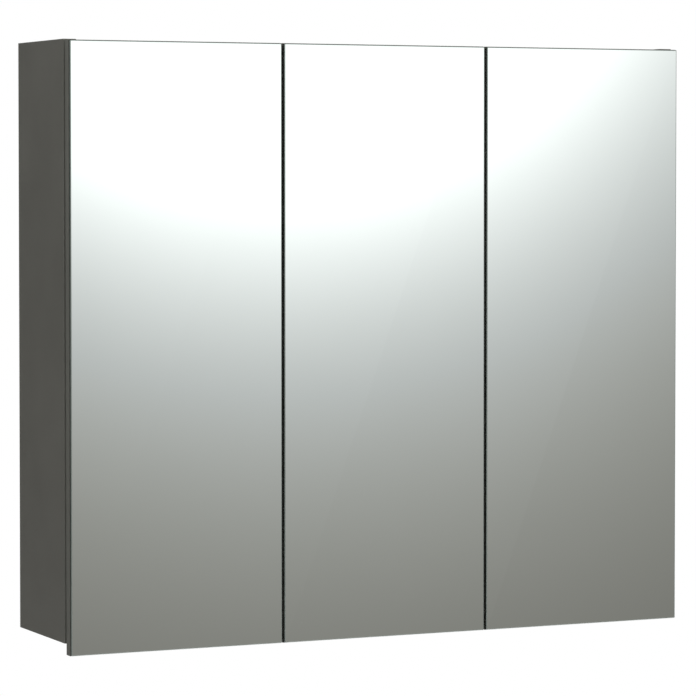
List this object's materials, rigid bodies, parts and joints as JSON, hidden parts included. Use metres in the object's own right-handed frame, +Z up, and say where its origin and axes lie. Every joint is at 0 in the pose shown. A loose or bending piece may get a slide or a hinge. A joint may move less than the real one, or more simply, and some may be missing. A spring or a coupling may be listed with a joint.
{
  "type": "medicine cabinet with mirror",
  "caption": "Wall-hung bathroom cabinet with flush frameless mirror doors on concealed hinges and glass shelves behind them.",
  "frame": {"origin": "on the wall plane, midway between the four wall screws that carry the two wall plates", "axes": "+X to the viewer's right along the width, +Y into the wall, +Z up"},
  "size_m": [0.8, 0.1725, 0.707],
  "materials": {
    "board": "satin melamine, anthracite",
    "back_board": "satin melamine, anthracite",
    "mirror": "polished silvered glass",
    "shelf_glass": "clear float glass, polished edges",
    "hinge_steel": "nickel-plated pressed steel",
    "screw_zinc": "zinc-plated",
    "hanger_plastic": "moulded, matt",
    "bumper": "soft translucent",
    "dowel_wood": "fluted beech"
  },
  "bodies": {
    "cabinet": {"left_side": "board", "right_side": "board", "top_panel": "board", "bottom_panel": "board", "left_partition": "board", "right_partition": "board", "back_panel": "back_board", "left_upper_shelf": "shelf_glass", "left_lower_shelf": "shelf_glass", "middle_upper_shelf": "shelf_glass", "middle_lower_shelf": "shelf_glass", "right_upper_shelf": "shelf_glass", "right_lower_shelf": "shelf_glass", "shelf_pins": "screw_zinc", "cam_locks": "screw_zinc", "cam_bolts": "screw_zinc", "dowels": "dowel_wood", "door_bumpers": "bumper", "left_hanger": "hanger_plastic", "right_hanger": "hanger_plastic", "hanger_hooks": "hinge_steel", "hanger_screws": "screw_zinc", "left_wall_plate": "hinge_steel", "right_wall_plate": "hinge_steel", "left_upper_arm": "hinge_steel", "left_lower_arm": "hinge_steel", "middle_upper_arm": "hinge_steel", "middle_lower_arm": "hinge_steel", "right_upper_arm": "hinge_steel", "right_lower_arm": "hinge_steel", "left_hinge_plates": "hinge_steel", "middle_hinge_plates": "hinge_steel", "right_hinge_plates": "hinge_steel", "hinge_plate_screws": "screw_zinc", "hinge_arm_screws": "screw_zinc", "hinge_arm_pins": "screw_zinc"},
    "left_inner_link": {"left_inner_links": "hinge_steel"},
    "left_outer_link": {"left_outer_links": "hinge_steel"},
    "left_door": {"left_door_panel": "board", "left_mirror": "mirror", "left_upper_cup": "hinge_steel", "left_lower_cup": "hinge_steel", "left_cup_screws": "screw_zinc", "left_cup_pins": "screw_zinc"},
    "middle_inner_link": {"middle_inner_links": "hinge_steel"},
    "middle_outer_link": {"middle_outer_links": "hinge_steel"},
    "middle_door": {"middle_door_panel": "board", "middle_mirror": "mirror", "middle_upper_cup": "hinge_steel", "middle_lower_cup": "hinge_steel", "middle_cup_screws": "screw_zinc", "middle_cup_pins": "screw_zinc"},
    "right_inner_link": {"right_inner_links": "hinge_steel"},
    "right_outer_link": {"right_outer_links": "hinge_steel"},
    "right_door": {"right_door_panel": "board", "right_mirror": "mirror", "right_upper_cup": "hinge_steel", "right_lower_cup": "hinge_steel", "right_cup_screws": "screw_zinc", "right_cup_pins": "screw_zinc"}
  },
  "joints": [
    {"name": "left_inner_link_turn", "type": "hinge", "parent": "cabinet", "child": "left_inner_link", "pos_m": [-0.3695, -0.1529, 0], "axis": [0, 0, 1], "range_deg": [0, 25.13]},
    {"name": "left_outer_link_turn", "type": "hinge", "parent": "cabinet", "child": "left_outer_link", "pos_m": [-0.3648, -0.1636, 0], "axis": [0, 0, 1], "range_deg": [0, 46.03]},
    {"name": "left_door_swing", "type": "hinge", "parent": "left_inner_link", "child": "left_door", "pos_m": [-0.3893, -0.1627, 0], "axis": [0, 0, -1], "range_deg": [0, 120.08]},
    {"name": "middle_inner_link_turn", "type": "hinge", "parent": "cabinet", "child": "middle_inner_link", "pos_m": [0.103, -0.1529, 0], "axis": [0, 0, -1], "range_deg": [0, 25.13]},
    {"name": "middle_outer_link_turn", "type": "hinge", "parent": "cabinet", "child": "middle_outer_link", "pos_m": [0.0983, -0.1636, 0], "axis": [0, 0, -1], "range_deg": [0, 46.03]},
    {"name": "middle_door_swing", "type": "hinge", "parent": "middle_inner_link", "child": "middle_door", "pos_m": [0.1228, -0.1627, 0], "axis": [0, 0, 1], "range_deg": [0, 120.08]},
    {"name": "right_inner_link_turn", "type": "hinge", "parent": "cabinet", "child": "right_inner_link", "pos_m": [0.3695, -0.1529, 0], "axis": [0, 0, -1], "range_deg": [0, 25.13]},
    {"name": "right_outer_link_turn", "type": "hinge", "parent": "cabinet", "child": "right_outer_link", "pos_m": [0.3648, -0.1636, 0], "axis": [0, 0, -1], "range_deg": [0, 46.03]},
    {"name": "right_door_swing", "type": "hinge", "parent": "right_inner_link", "child": "right_door", "pos_m": [0.3893, -0.1627, 0], "axis": [0, 0, 1], "range_deg": [0, 120.08]}
  ],
  "couplings": [
    {"joint": "left_inner_link_turn", "follows": "left_door_swing", "ratio": 0.20886},
    {"joint": "left_outer_link_turn", "follows": "left_door_swing", "ratio": 0.38291},
    {"joint": "middle_inner_link_turn", "follows": "middle_door_swing", "ratio": 0.20886},
    {"joint": "middle_outer_link_turn", "follows": "middle_door_swing", "ratio": 0.38291},
    {"joint": "right_inner_link_turn", "follows": "right_door_swing", "ratio": 0.20886},
    {"joint": "right_outer_link_turn", "follows": "right_door_swing", "ratio": 0.38291}
  ]
}
